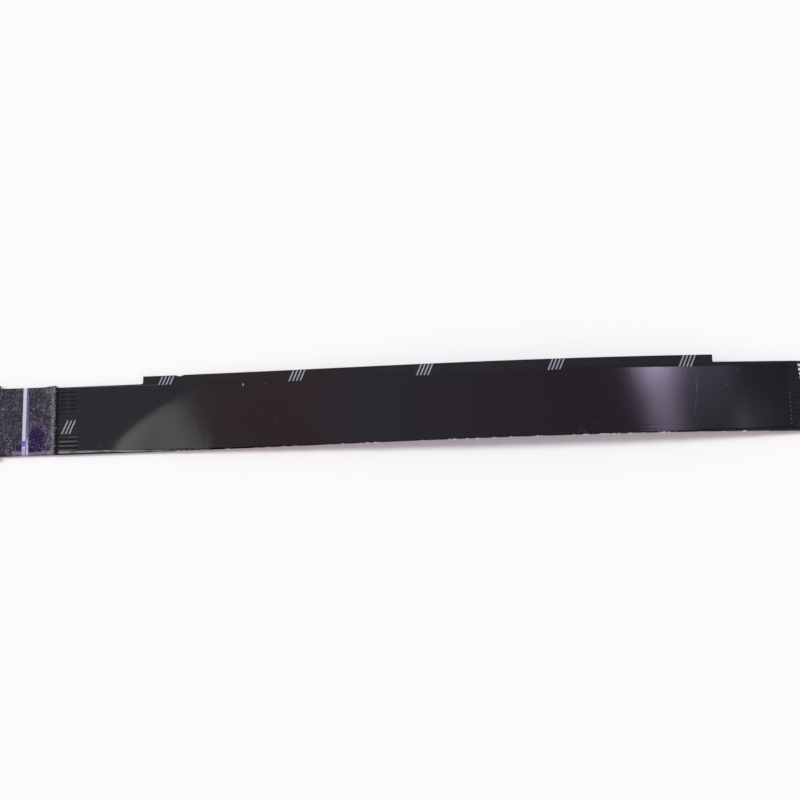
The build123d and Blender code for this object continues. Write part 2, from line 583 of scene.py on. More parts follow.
@dataclass(frozen=True)
class GlossyFilm(Finish):
    """Smooth black film with hairline scratches, dust, smudges in its gloss and tints along it
    that are painted reflections.

    A flake has a station, a place, half its length along the cable and across it, and
    its strength.
    """

    name: str = "glossy_film"
    black: Colour = (0.0085, 0.0075, 0.0095)
    painted_pale_reflection: Colour = (0.0108, 0.0101, 0.0113)
    painted_reddish_reflection: Colour = (0.0118, 0.0036, 0.0042)
    painted_bluish_reflection: Colour = (0.0075, 0.0075, 0.0125)
    painted_brownish_reflection: Colour = (0.0077, 0.0047, 0.0077)
    dust: Colour = (0.34, 0.33, 0.36)
    scratched: Colour = (0.30, 0.28, 0.34)
    scratch: float = 83.96
    lifted: float = 94.38
    ring: Numbers = (71.26, -3.95, 0.42)
    flakes: tuple[tuple[float, float, float, float, float], ...] = (
        (33.53, 3.44, 0.07, 0.26, 0.9), (37.27, -0.8, 0.07, 0.09, 0.14),
        (36.05, 3.4, 0.25, 0.06, 0.08), (88.86, 3.05, 0.14, 0.07, 0.12),
        (87.5, 1.33, 0.1, 0.14, 0.12), (73.0, -2.7, 0.09, 0.12, 0.07),
        (76.14, -0.9, 0.08, 0.08, 0.045), (17.5, -3.3, 0.1, 0.1, 0.12),
    )

    def looks(self, tree: Tree) -> Looks:
        """Painted reflection tints along the strip, dust, the scratch and the ribs that show
        through.
        """
        station, place, rib = tree.station, tree.place, tree.rib()
        smear = tree.cloud((0.16, 0.4, 0.4))
        # painted reflection: pale, reddish, bluish and brownish tints along the strip stand for
        # coloured surroundings mirrored in the film
        reddish_reflection_mask = station.within(25.0, 47.0, 6.0) * (0.65 + smear.above(0.3, 0.6) * 0.35)
        specks = tree.specks(0.9, 0.05, 0.1) | tree.specks(2.6, 0.11, 0.04)
        colour = tree.mix(
            self.black, (station.below(20.0, 25.0), self.painted_pale_reflection), (reddish_reflection_mask, self.painted_reddish_reflection),
            (station.within(42.0, 60.0, 7.0) * 0.7, self.painted_bluish_reflection),
            (station.within(46.0, 84.0, 7.0) * 0.85, self.painted_brownish_reflection), (specks * 0.07, self.dust),
        )
        for along, across, length, width, strength in self.flakes:
            flake = oval(station - along, length, place - across, width).below(0.5, 1.3)
            colour = tree.mix(colour, (flake * strength, self.dust))
        stitch = rib.above(0.125, 0.35) * (0.6 + place.below(-0.5, 1.5) * 0.4)
        along, across, radius = self.ring
        ring = oval(station - along, 1.0, place - across, 1.0) ** 0.5
        wander = tree.cloud((0.0, 0.5, 0.0), 2.0) * 0.08 + place * 0.11
        line = (station - wander).at(self.scratch, 0.01, 0.035) * place.within(-2.6, 3.3, 1.2)
        line = line * tree.cloud((0.4, 1.1, 1.1)).above(0.3, 0.6)
        beside = station.within(82.6, 84.4, 0.3) * place.above(-1.5, 0.5)
        fine = tree.cloud((0.5, 0.35, 0.35), 2.0).above(0.52, 0.62) | beside
        fine = fine * tree.cloud((9.0, 0.12, 0.12), 2.0, 0.7).above(0.68, 0.74)
        colour = tree.mix(
            colour, (station.at(self.lifted, 0.03, 0.08) * stitch * 0.17, self.dust),
            (ring.at(radius, 0.03, 0.1) * 0.06, self.dust),
            (line * 0.13 | fine * 0.04, self.scratched),
        )
        brushed = tree.cloud((5.0, 0.5, 0.5))
        rough = 0.034 + smear * 0.025 + brushed * 0.025 + line * 0.15 + fine * 0.04 + specks * 0.2
        relief = brushed * 0.8 + tree.cloud((4.0, 8.0, 8.0), 2.0) * 0.3
        relief = relief + tree.cloud(9.0, 2.0) * 0.45 - line * 0.4
        relief = relief - rib * place.below(-3.4, -1.8) * 0.9
        return {
            "Base Color": colour, "Roughness": rough, "Normal": tree.bump(relief, 0.001),
            "IOR": 1.5,
        }


@dataclass(frozen=True)
class MetalCloth(Finish):
    """Metal-plated woven cloth with a painted line, ink blots and a frayed border."""

    name: str = "metal_cloth"
    dark: Colour = (0.0195, 0.0165, 0.0265)
    # colour of the painted glints on the metal yarns
    light: Colour = (0.23, 0.212, 0.27)
    frayed: Colour = (0.36, 0.31, 0.35)
    paint: Colour = (0.60, 0.59, 0.76)
    halo: Colour = (0.17, 0.165, 0.25)
    smudge: Colour = (0.62, 0.60, 0.70)
    ink: Colour = (0.011, 0.003, 0.04)
    spotted: Colour = (0.25, 0.15, 0.34)
    blue_ink: Colour = (0.03, 0.015, 0.36)
    lilac: Colour = (0.36, 0.24, 0.37)
    yarn: float = 0.13
    line: float = 8.74
    halo_line: float = 9.07
    blot: Point = (10.15, -2.3)
    blot_size: Point = (1.05, 1.7)

    def looks(self, tree: Tree) -> Looks:
        """Painted glints on the yarns, the worn border, the ink and the painted line over it."""
        station, place = tree.station, tree.place
        cells = tree.vector("SNAP", {0: tree.spot, 1: (self.yarn, self.yarn, self.yarn)})
        chance = tree.value("TexWhiteNoise", "Value", {}, {"Vector": cells})
        patch, fuzz = tree.cloud(1.1, 4.0, 0.65), tree.cloud(7.0, 4.0, 0.7)
        lint_and_shade = tree.cloud(5.5, 3.0, 0.75).above(0.47, 0.6)
        # painted highlight: random yarn crossings are lightened as glints
        painted_glints = chance ** 3.0 * patch.above(0.25, 0.7) * 0.75 + fuzz.above(0.5, 0.8) * 0.35
        border = station.above(CLOTH[1] - 1.0, CLOTH[1] - 0.2) * 0.8
        worn = (border | station.above(10.2, 12.0) * place.above(2.7, 3.8)) * lint_and_shade
        foot = place.below(-3.6, -3.4) * station.within(7.35, 12.2, 0.2)

        wander = tree.cloud(1.3, 4.0, 0.7) * 2.0 - 1.0
        along = station - self.blot[0] + wander * 0.9
        around = oval(
            along, self.blot_size[0], place - self.blot[1] + wander * 0.8, self.blot_size[1]
        )
        leak = place + (station - 8.4) * 0.3 + wander * 0.35
        spill = station.within(7.35, 8.7, 0.25) * leak.within(-3.5, -2.65, 0.15)
        stained = around.below(0.65, 1.2) * place.above(-3.75, -3.55) | spill
        fleck = tree.specks(6.2, 0.5, 0.5) * (0.35 + lint_and_shade * 0.65)
        speckled = tree.mix(self.ink, (fleck * 0.85, self.spotted))
        fringe = around.within(0.9, 1.9, 0.35) * place.above(-3.6, -3.4) * lint_and_shade * 0.4

        shift = place * 0.008 + fuzz * 0.05 - 0.025
        line = (station - shift).at(self.line, 0.15, 0.23)
        beside = (station + place * 0.02 - shift).at(self.halo_line, 0.07, 0.18)
        soaked = place.below(-2.7, -1.6) * beside * (0.4 + lint_and_shade * 0.6)
        wet = line * place.within(-3.05, -2.2, 0.2) * fuzz.above(0.3, 0.5) * 0.9
        painted = line * (0.88 + patch * 0.12)
        covered = painted | stained
        colour = tree.mix(
            self.dark, (painted_glints, self.light), (worn * 0.9, self.frayed),
            (foot * (0.3 + lint_and_shade * 0.55), self.lilac), (stained * 0.95, speckled),
            (fringe, self.spotted), (beside * (0.6 + lint_and_shade * 0.4), self.halo),
            (soaked, self.smudge), (painted, self.paint),
            (wet | line * place.below(-3.3, -2.9) * 0.35, self.blue_ink),
        )
        return {
            "Base Color": colour, "Roughness": 0.42 + fuzz * 0.2 + covered * 0.25,
            "Metallic": (1.0 - covered) * 0.45, "Specular IOR Level": 0.2,
            "Normal": tree.bump(fuzz * 0.7 + chance * 0.3, 0.01),
        }


@dataclass(frozen=True)
class Thread(Finish):
    """Loose threads of the cloth, with the metal worn off in places."""

    name: str = "thread"
    grey: Colour = (0.12, 0.105, 0.125)
    bare: Colour = (0.52, 0.48, 0.52)

    def looks(self, tree: Tree) -> Looks:
        """Dull yarn under worn metal."""
        worn = tree.cloud(5.0)
        colour = tree.mix(self.grey, (worn.above(0.35, 0.65), self.bare))
        return {"Base Color": colour, "Roughness": 0.45 + worn * 0.3, "Metallic": 0.3}


@dataclass(frozen=True)
class BorderShade(Finish):
    """Near-black threads at the sleeve's border, laid there as painted shade along it."""

    name: str = "lint_and_shade"
    black: Colour = (0.006, 0.0055, 0.007)
    grey: Colour = (0.03, 0.028, 0.033)

    def looks(self, tree: Tree) -> Looks:
        """Near-black painted shade with grey dust on it."""
        worn = tree.cloud(6.0).above(0.5, 0.75)
        colour = tree.mix(self.black, (worn, self.grey))
        return {"Base Color": colour, "Roughness": 0.6 + worn * 0.2, "Specular IOR Level": 0.15}


@dataclass(frozen=True)
class PaleInk(Finish):
    """Pale grey print on the film, thin enough to be worn in places."""

    name: str = "pale_ink"
    pale: Colour = (0.30, 0.30, 0.37)
    thin: Colour = (0.12, 0.12, 0.15)

    def looks(self, tree: Tree) -> Looks:
        """Ink that is thinner in spots."""
        worn = tree.cloud(6.0, 4.0, 0.7)
        colour = tree.mix(self.pale, (worn.above(0.5, 0.75) * 0.7, self.thin))
        return {"Base Color": colour, "Roughness": 0.5 + worn * 0.15}


@dataclass(frozen=True)
class PaleBurr(Finish):
    """Pale torn slivers of film and glue along the cut edge."""

    name: str = "pale_burr"
    pale: Colour = (0.62, 0.60, 0.63)
    grey: Colour = (0.30, 0.28, 0.31)

    def looks(self, tree: Tree) -> Looks:
        """Torn film, pale with grey spots."""
        worn = tree.cloud(3.0)
        colour = tree.mix(self.pale, (worn.above(0.4, 0.7), self.grey))
        return {"Base Color": colour, "Roughness": 0.4 + worn * 0.2}


@dataclass(frozen=True)
class Tin(Finish):
    """Tin plate with drawing lines along it and a faint tarnish."""

    name: str = "tin_plate"
    bright: Colour = (0.74, 0.73, 0.72)
    tarnish: Colour = (0.50, 0.47, 0.44)

    def looks(self, tree: Tree) -> Looks:
        """Bright metal with drawing lines and stains."""
        lines, stain = tree.cloud((0.8, 40.0, 40.0)), tree.cloud((1.3, 2.0, 2.0), 4.0)
        colour = tree.mix(self.bright, (stain.above(0.45, 0.75) * 0.7, self.tarnish))
        return {
            "Base Color": colour, "Metallic": 1.0,
            "Roughness": 0.24 + lines * 0.16 + stain * 0.1, "Normal": tree.bump(lines, 0.003),
        }


@dataclass(frozen=True)
class Backing(Finish):
    """Satin backing strip of stiff polyester, with a fine grain."""

    name: str = "backing"
    dark: Colour = (0.022, 0.022, 0.026)
    light: Colour = (0.04, 0.04, 0.046)

    def looks(self, tree: Tree) -> Looks:
        """Dark plastic with a grain along it."""
        grain = tree.cloud((3.0, 16.0, 16.0), 4.0)
        colour = tree.mix(self.dark, (grain.above(0.3, 0.7), self.light))
        rough, normal = 0.38 + grain * 0.2, tree.bump(grain, 0.004)
        return {"Base Color": colour, "Roughness": rough, "Normal": normal}


@dataclass(frozen=True)
class TableTop(Finish):
    """Plain pale table, which looks white to the camera and keeps the shadow."""

    name: str = "table_top"
    pale: Colour = (0.772, 0.784, 0.765)
    lift: Colour = (0.193, 0.164, 0.181)
    unlit: Colour = (0.0, 0.0, 0.0)

    def looks(self, tree: Tree) -> Looks:
        """Pale matte top, lifted to the camera only."""
        camera = tree.node("LightPath").outputs["Is Camera Ray"]
        return {
            "Base Color": self.pale, "Roughness": 0.9, "Specular IOR Level": 0.0,
            "Emission Strength": 1.0,
            "Emission Color": tree.mix(self.unlit, (camera, self.lift)),
        }


# Pieces


class Part(Enum):
    """Record's slots, one of which is given with each piece."""

    BASE = "base_film"
    PRINTED = "printed_film"
    GLOSS = "gloss_film"
    CLOTH = "cloth"


def dress(piece: Piece, finish: Finish, part: Part, *nodes: str) -> Piece:
    """Give a piece its material, its body and the nodes that it stands for.

    Args:
        piece: The piece.
        finish: Its finish.
        part: Not used.
        *nodes: Nodes that it replaces.

    Returns:
        The same piece.
    """
    piece.data.materials.append(finish.make())
    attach(piece, "root")
    if nodes:
        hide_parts(*nodes)
    LOG.info("%s: %d faces", piece.name, len(piece.data.polygons))
    return piece


@dataclass
class Pile:
    """Small closed forms gathered into one mesh."""

    points: list[Vector] = field(default_factory=list)
    faces: list[Face] = field(default_factory=list)

    def add(self, points: list[Vector], faces: Iterable[Face]) -> None:
        """Add a form, with its faces given by its own corners."""
        begin = len(self.points)
        self.points += points
        self.faces += [tuple(begin + corner for corner in face) for face in faces]

    def loft(self, rings: list[list[Vector]]) -> None:
        """Add a closed form along rings of corners that turn clockwise seen from its start."""
        sides, top = len(rings[0]), (len(rings) - 1) * len(rings[0])
        faces: list[Face] = [tuple(range(sides))[::-1], tuple(range(top, top + sides))]
        for row in range(0, top, sides):
            for side in range(sides):
                here, following = row + side, row + (side + 1) % sides
                faces.append((here, following, following + sides, here + sides))
        self.add([corner for ring in rings for corner in ring], faces)


@dataclass
class Laminate:
    """The two black films that hold the conductors."""

    route: Route
    ways: int = 15
    conductor_height: float = 0.05
    film: float = 0.07
    rib: float = 0.03
    half_end: float = 3.875
    half_body: float = 4.0
    contact: float = 4.3
    ear: float = 0.5
    tab_start: float = 22.15
    tab_end: float = 85.85
    tab_width: float = 0.85
    tab_step: float = 4.3
    tab_drop: float = 0.14
    tab_shift: float = 0.18
    end_skew: float = 0.95
    end_shift: float = 0.16
    rib_top: float = field(init=False)
    near: Edge = field(init=False)
    far: Edge = field(init=False)

    def __post_init__(self) -> None:
        """Trace the two long edges."""
        self.rib_top = self.film + self.rib
        ear, end, body = self.half_end + self.ear, self.half_end, self.half_body
        first = [
            (0.0, end - 0.15, 0.0), (0.15, end, 0.0), (self.contact, end, 0.0),
            (self.contact, ear, 0.12), (CLOTH[0], ear, 0.12),
            (CLOTH[0], end, 0.0), (CLOTH[1], end, 0.0),
        ]
        length = self.route.length
        last = [(length - 0.15, body, 0.0), (length, body - 0.15, 0.0)]
        tab, step = body + self.tab_width, self.tab_start + self.tab_step
        tab_end = self.tab_end + self.tab_shift
        raised = [
            (self.tab_start, body - 0.06, 0.2), (self.tab_start, tab - 0.015, 0.06),
            (step - 0.6, tab - 0.015, 0.05), (step - 0.25, tab - self.tab_drop, 0.04),
            (step, tab - self.tab_drop, 0.04), (step + 0.35, tab, 0.05),
            (tab_end, tab, 0.06), (tab_end, body, 0.15),
        ]
        self.far = rounded(first + raised + last)
        wide = first + [(CLOTH[1], body, 0.0)] + last
        self.near = rounded([(s, -place, radius) for s, place, radius in wide])

    def ribbed(self, place: float, half: float, flank: float) -> float:
        """Share of a rib's height at a place, for ribs with a half width and a flank."""
        reach = (self.ways - 1) / 2 * PITCH
        nearest = min(max(round((place + reach) / PITCH) * PITCH - reach, -reach), reach)
        return 1.0 - smooth(half, half + flank, abs(place - nearest))

    def film_top(self, station: float, place: float) -> float:
        """Level of the upper film's pressed face."""
        uneven = 1.0 + 0.18 * ripple(station * 0.9, round(place / PITCH) * 3.1, 7.0)
        return self.film + self.rib * self.ribbed(place, 0.13, 0.1) * uneven

    def film_foot(self, _station: float, place: float) -> float:
        """Level of the upper film's underside, which takes in the conductors."""
        return self.conductor_height * self.ribbed(place, 0.16, 0.02)

    def inner_places(self) -> list[float]:
        """Places across the ribs, close together on their flanks."""
        reach = (self.ways - 1) / 2 * PITCH
        flank = (0.13, 0.16, 0.18, 0.205, 0.23)
        offsets = (-PITCH / 2, *(-offset for offset in reversed(flank)), 0.0, *flank)
        crests = [index * PITCH - reach for index in range(self.ways)]
        return [crest + offset for crest in crests for offset in offsets] + [reach + PITCH / 2]

    def spread(self, inner: list[float], station: float) -> list[float]:
        """Places of one row: the inner ones and the margins out to both edges."""
        near, far = self.near.place(station), self.far.place(station)
        left = [near + (inner[0] - near) * share for share in (0.0, 0.3, 0.65)]
        right = [far + (inner[-1] - far) * share for share in (0.8, 0.6, 0.4, 0.2, 0.0)]
        return left + inner + right

    def rows(self, first: float, last: float, step: float) -> list[float]:
        """Stations of the rows, with all those at which an edge turns."""
        turns = [
            station for station in self.near.stations() + self.far.stations()
            if first < station < last
        ]
        return merged(even(first, last, step), turns)

    def lower_film(self) -> Piece:
        """The film under the conductors, from tip to tip."""
        inner = even(-self.half_end + 0.3, self.half_end - 0.3, 0.5)
        sheet = Sheet(
            "lower_film_sheet", self.route.spot, self.rows(0.0, self.route.length, 1.0),
            lambda station: self.spread(inner, station),
            lambda station, place: 0.0, lambda station, place: -self.film,
        )
        return dress(sheet.build(), BlackFilm(), Part.BASE, "lower_film")

    def upper_film(self) -> Piece:
        """The film over the conductors, with its ribs and its end cut askew."""
        inner = self.inner_places()
        last = self.route.length - self.contact + self.end_shift
        lean = self.end_skew / (2 * self.half_body)

        def surface(station: float, place: float, level: float) -> Vector:
            """Point of the film, leaning over to the askew end."""
            skewed = station - lean * place * smooth(last - 2.0, last, station)
            return self.route.spot(skewed, place, level)

        rows = merged(
            self.rows(self.contact, last, 1.2),
            even(CLOTH[1] - 0.4, 15.2, 0.14), even(last - 2.2, last, 0.2),
        )
        sheet = Sheet(
            "ribbed_film", surface, rows, lambda station: self.spread(inner, station),
            self.film_top, self.film_foot,
        )
        return dress(sheet.build(), PressedFilm(), Part.PRINTED, "upper_film")


@dataclass
class GlossStrip:
    """The smooth strip laid on top of the ribs, with a low buckle near its left end.

    Args:
        laminate: The films that it lies on.
        begin: Station where the buckle begins at the near edge, and how that moves with
            the distance from there and its square.
        fade: Station where it begins to sink at the near edge, and how that moves.
        sink: How long it sinks for, and how that moves.
        settled: Stations between which the whole strip settles again.
    """

    laminate: Laminate
    start: float = 14.85
    end: float = 94.5
    thickness: float = 0.05
    end_lean: float = 0.04
    begin: Numbers = (18.71, 0.328, 0.14)
    fade: Point = (24.79, -0.139)
    sink: Point = (9.0, -0.473)
    settled: Point = (30.0, 46.0)
    samples: int = 16
    near: Edge = Edge((
        (14.85, -3.6), (18.0, -3.62), (20.5, -3.68), (23.5, -3.75), (26.0, -3.83), (30.0, -3.9),
        (40.0, -3.94), (55.0, -3.95), (75.0, -3.93), (82.0, -3.86), (87.0, -3.74), (94.6, -3.52),
    ))
    far: Edge = Edge((
        (14.85, 3.74), (22.2, 3.76), (26.5, 3.72), (33.5, 3.5), (41.0, 3.52), (45.0, 3.62),
        (51.0, 3.54), (56.0, 3.45), (67.0, 3.5), (70.3, 3.6), (75.5, 3.54), (85.0, 3.46),
        (88.0, 3.56), (94.6, 3.62),
    ))

    def buckle(self, station: float, place: float) -> float:
        """Height of the buckle, which is its slope added up along the strip.

        Args:
            station: Distance along the cable.
            place: Distance across it.

        Returns:
            How far the strip stands off there.
        """
        up = place + 3.7
        begin = self.begin[0] + self.begin[1] * up + self.begin[2] * up * up
        fade, wide = (first + rate * min(up, 3.6) for first, rate in (self.fade, self.sink))
        first, last = begin - 1.5, min(station, fade + wide)
        if last <= first:
            return 0.0
        step = (last - first) / self.samples
        steeper = 0.6 * (1.0 - smooth(0.5, 4.34, up))
        rise = sum(
            smooth(begin - 1.5, begin + 1.5, spot) * (1.0 - smooth(fade, fade + wide, spot))
            * (1.0 + steeper * (1.0 - smooth(begin + 1.0, begin + 4.0, spot)))
            for spot in (first + (index + 0.5) * step for index in range(self.samples))
        )
        slope = 0.0252 * (1.0 - smooth(-0.19, 6.0, place))
        return slope * rise * step * (1.0 - smooth(*self.settled, station))

    def top(self, station: float, place: float) -> float:
        """Level of the strip's upper face."""
        waves = 0.006 * ripple(station * 0.07, place * 0.12, 3.0)
        level = self.laminate.rib_top + self.thickness + 0.006
        return level + waves + self.buckle(station, place)

    def surface(self, station: float, place: float, level: float) -> Vector:
        """Point of the strip, leaning over to its right end."""
        skewed = station - self.end_lean * place * smooth(self.end - 8.0, self.end, station)
        return self.laminate.route.spot(skewed, place, level)

    def places(self, station: float) -> list[float]:
        """Places of one row, between the two slightly ragged edges."""
        near = self.near.place(station) + 0.012 * ripple(station * 1.3, 0.0, 5.0)
        far = self.far.place(station) + 0.02 * ripple(station * 0.8, 9.0, 5.0)
        return [near + (far - near) * share for share in even(0.0, 1.0, 1 / 60)]

    def build(self) -> Piece:
        """Make the strip."""
        sheet = Sheet(
            "glossy_strip", self.surface, even(self.start, self.end, 0.4), self.places,
            self.top,
            lambda station, place: self.laminate.film + 0.002 + self.buckle(station, place),
        )
        return dress(sheet.build(), GlossyFilm(), Part.GLOSS, "gloss_film")


@dataclass
class Hatching:
    """Groups of slanted strokes that are printed on the film at even steps.

    The low group has its station and the places of its two ends.
    """

    laminate: Laminate
    stations: tuple[float, ...] = (24.7, 39.6, 54.0, 68.65, 83.2)
    inner_end: float = 3.3
    low_group: Numbers = (13.55, -1.6, -0.05)
    strokes: int = 4
    gap: float = 0.42
    width: float = 0.16
    slant: float = 0.42
    ink: float = 0.004

    def stroke(self, pile: Pile, station: float, first: float, last: float) -> None:
        """Add one slanted stroke that follows the film under it.

        Args:
            pile: The strokes so far.
            station: Station of the stroke's middle.
            first: Place of its near end.
            last: Place of its far end.
        """
        rings = []
        for place in even(first, last, 0.04):
            ring = []
            for side, rise in ((-0.5, 1), (0.5, 1), (0.5, -1), (-0.5, -1)):
                here = station + (place - (first + last) / 2) * self.slant + side * self.width
                level = self.laminate.film_top(here, place) + rise * self.ink
                ring.append(self.laminate.route.spot(here, place, level))
            rings.append(ring)
        pile.loft(rings)

    def build(self) -> Piece:
        """Make all the strokes as one piece."""
        pile = Pile()
        offsets = [(index - (self.strokes - 1) / 2) * self.gap for index in range(self.strokes)]
        for station in self.stations:
            for here in (station + offset for offset in offsets):
                self.stroke(pile, here, self.inner_end, self.laminate.far.place(here) - 0.01)
        middle, first, last = self.low_group
        for offset in offsets[1:]:
            self.stroke(pile, middle + offset, first, last)
        return dress(solid("hatch_strokes", pile.points, pile.faces), PaleInk(), Part.PRINTED)


@dataclass
class Sleeve:
    """Strip of woven cloth folded round the left end, its edges meeting underneath."""

    laminate: Laminate
    start: float = CLOTH[0]
    end: float = CLOTH[1]
    bottom: float = -0.25
    cloth: float = 0.08
    fold: float = 0.05
    seam: float = 0.5
    yarn: float = 0.2
    weave: float = 0.014
    tooth: float = 0.31
    tooth_depth: float = 0.17
    drawn_in: float = 0.13
    grid: float = 0.05
    runs: list[tuple[float, Vector, Vector, float]] = field(init=False)

    def __post_init__(self) -> None:
        """Lay out the straight and bent runs of one turn round the end."""
        half, top = self.laminate.half_end - self.fold, self.laminate.rib_top - self.fold
        low = self.bottom + self.fold
        radius = self.fold + self.cloth / 2
        centres = [Vector(spot) for spot in ((half, low), (half, top), (-half, top), (-half, low))]
        normals = [Vector(turn) for turn in ((0, -1), (1, 0), (0, 1), (-1, 0), (0, -1))]
        self.runs = []
        here = Vector((self.seam / 2, low))
        for index, centre in enumerate(centres):
            self.runs.append(((centre - here).length, here, normals[index], 0.0))
            self.runs.append((pi / 2 * radius, centre, normals[index], pi / 2))
            here = centre
        self.runs.append((half - self.seam / 2, here, normals[4], 0.0))

    def girth(self) -> float:
        """Length of cloth round the end, from one side of the seam to the other."""
        return sum(run[0] for run in self.runs)

    def wrap(self, around: float, level: float) -> tuple[Vector, Vector]:
        """Place and level of a point of the cloth.

        Args:
            around: Distance round the end from the seam.
            level: Height above the cloth's inner face.

        Returns:
            The point across the cable, and its outward normal.
        """
        for length, start, normal, turn in self.runs:
            if around <= length or (length, start, normal, turn) == self.runs[-1]:
                break
            around -= length
        if turn:
            angle = turn * around / length
            outward = Vector((
                normal.x * cos(angle) - normal.y * sin(angle),
                normal.x * sin(angle) + normal.y * cos(angle),
            ))
            return start + outward * (self.fold + level), outward
        forward = Vector((-normal.y, normal.x))
        return start + forward * around + normal * (self.fold + level), normal

    def relief(self, station: float, around: float) -> float:
        """Height of the plain weave, with its yarns a little uneven."""
        along, across = station / self.yarn, around / self.yarn
        over = (floor(along) + floor(across)) % 2
        warp = abs(sin(pi * along)) ** 0.7 * (1.0 if over else 0.35)
        weft = abs(sin(pi * across)) ** 0.7 * (0.35 if over else 1.0)
        uneven = 1.0 + 0.5 * ripple(station * 2.1, around * 2.1, 11.0)
        height = self.weave * (max(warp, weft) * uneven - 0.7)
        under = self.runs[0][0]
        return min(height, 0.0) if around < under or around > self.girth() - under else height

    def surface(self, station: float, around: float, level: float) -> Vector:
        """Point of the cloth, with its toothed border and its flared far corner."""
        point, normal = self.wrap(around, level)
        wave = abs((around / self.tooth + 0.35 * ripple(around * 0.9, 1.0, 2.0)) % 1.0 - 0.5) * 2
        depth = self.tooth_depth * (1.0 + 0.6 * ripple(around * 1.7, 8.0, 2.0))
        tooth = depth * (wave - 0.5) + 0.05 * ripple(around * 6.0, 4.0, 2.0)
        loose = smooth(self.end - 0.7, self.end, station)
        flare = 0.15 * smooth(self.end - 2.0, self.end - 0.2, station) * smooth(2.6, 3.9, point.x)
        lift = 0.035 * loose * max(normal.y, 0.0)
        along = station + (tooth - self.drawn_in) * loose
        return self.laminate.route.spot(along, point.x + flare, point.y + lift)

    def build(self) -> Piece:
        """Make the cloth."""
        around = even(0.0, self.girth(), self.grid)
        sheet = Sheet(
            "woven_sleeve", self.surface, even(self.start, self.end, self.grid),
            lambda station: around,
            lambda station, place: self.cloth + self.relief(station, place),
            lambda station, place: 0.002,
        )
        piece = sheet.build()
        piece.data.flip_normals()
        return dress(piece, MetalCloth(), Part.CLOTH, "cloth_sleeve")


@dataclass
class Frays:
    """Short loose threads along the sleeve's border.

    Args:
        sleeve: The cloth that they stand out of.
        name: Name of the piece.
        finish: Its finish.
        count: Number of threads.
        radius: Half the thickness of a thread.
        begin: Where they start, from nearest to furthest inside the border.
        reach: How long they are, from shortest to longest.
        rise: How high they stand off the cloth, from lowest to highest.
        seed: Start of their random draws.
        drift: How far a thread may lean to either side.
        margin: Distance from the seam to the first thread.
        sides: Number of sides of a thread.
    """

    sleeve: Sleeve
    name: str = "sleeve_threads"
    finish: Finish = Thread()
    count: int = 150
    radius: float = 0.012
    begin: Point = (0.15, 0.6)
    reach: Point = (0.12, 0.42)
    rise: Point = (0.02, 0.07)
    seed: int = 41
    drift: float = 0.22
    margin: float = 4.2
    sides: int = 5

    def rings(self, line: list[Vector]) -> list[list[Vector]]:
        """Rings of corners round a thread, which thins towards its loose end.

        Args:
            line: The points that the thread follows, in metres.

        Returns:
            The rings.
        """
        rings = []
        for index, spot in enumerate(line):
            ahead = line[min(index + 1, len(line) - 1)] - line[max(index - 1, 0)]
            across = ahead.cross(Vector((0, 0, 1))).normalized()
            up = across.cross(ahead).normalized()
            size = self.radius * (1.0 - 0.5 * index / (len(line) - 1)) * MM
            angles = (2 * pi * side / self.sides for side in range(self.sides))
            rings.append([spot + (across * cos(turn) - up * sin(turn)) * size for turn in angles])
        return rings

    def build(self) -> Piece:
        """Make all the threads as one piece."""
        chance, sleeve, pile = random.Random(self.seed), self.sleeve, Pile()
        span = sleeve.girth() - 2 * self.margin
        for index in range(self.count):
            around = self.margin + span * (index + chance.random()) / self.count
            reach = chance.uniform(*self.reach)
            drift = chance.uniform(-self.drift, self.drift)
            begin = sleeve.end - chance.uniform(*self.begin)
            lift = chance.uniform(*self.rise)
            pile.loft(self.rings([
                sleeve.surface(
                    begin + reach * share, around + drift * share ** 2,
                    sleeve.cloth + self.radius * 0.6 + lift * sin(pi * share) * 0.7,
                )
                for share in (0.0, 0.25, 0.5, 0.75, 1.0)
            ]))
        piece = solid(self.name, pile.points, pile.faces, 80.0)
        return dress(piece, self.finish, Part.CLOTH)


@dataclass
class Burrs:
    """Small pale slivers that the cutter left on the near edge of the films.

    A span has its first and last station and the number of its slivers.
    """

    laminate: Laminate
    spans: tuple[tuple[float, float, int], ...] = (
        (24.0, 29.5, 8), (31.0, 46.0, 10), (46.5, 49.0, 6), (50.0, 72.0, 14),
        (71.5, 73.5, 3), (73.7, 75.4, 5), (76.2, 78.2, 6), (79.4, 82.2, 5), (83.0, 91.0, 6),
    )
    corners: tuple[Numbers, ...] = (
        (-1.0, 0.0, 0.0), (-0.3, -0.8, 0.4), (0.35, -1.0, 0.2), (1.0, 0.0, 0.1),
        (0.2, 0.3, 1.0), (-0.2, 0.3, -0.6),
    )
    faces: tuple[Face, ...] = (
        (0, 1, 4), (1, 2, 4), (2, 3, 4), (0, 4, 3), (0, 5, 1), (1, 5, 2), (2, 5, 3), (0, 3, 5),
    )
    seed: int = 17

    def build(self) -> Piece:
        """Make all the slivers as one piece."""
        chance, pile = random.Random(self.seed), Pile()
        for first, last, count in self.spans:
            for _ in range(count):
                self.sliver(pile, chance, chance.uniform(first, last))
        return dress(solid("edge_burrs", pile.points, pile.faces, 30.0), PaleBurr(), Part.PRINTED)

    def sliver(self, pile: Pile, chance: random.Random, station: float) -> None:
        """Add one sliver.

        Args:
            pile: The slivers so far.
            chance: Source of its random sizes.
            station: Where it is.
        """
        half, out = chance.uniform(0.1, 0.32), chance.uniform(0.06, 0.14)
        level, edge = chance.uniform(0.03, 0.085), self.laminate.near.place(station)
        pile.add([
            self.laminate.route.spot(
                station + along * half, edge + across * out + 0.012, level + up * 0.02
            )
            for along, across, up in self.corners
        ], self.faces)


# Stage


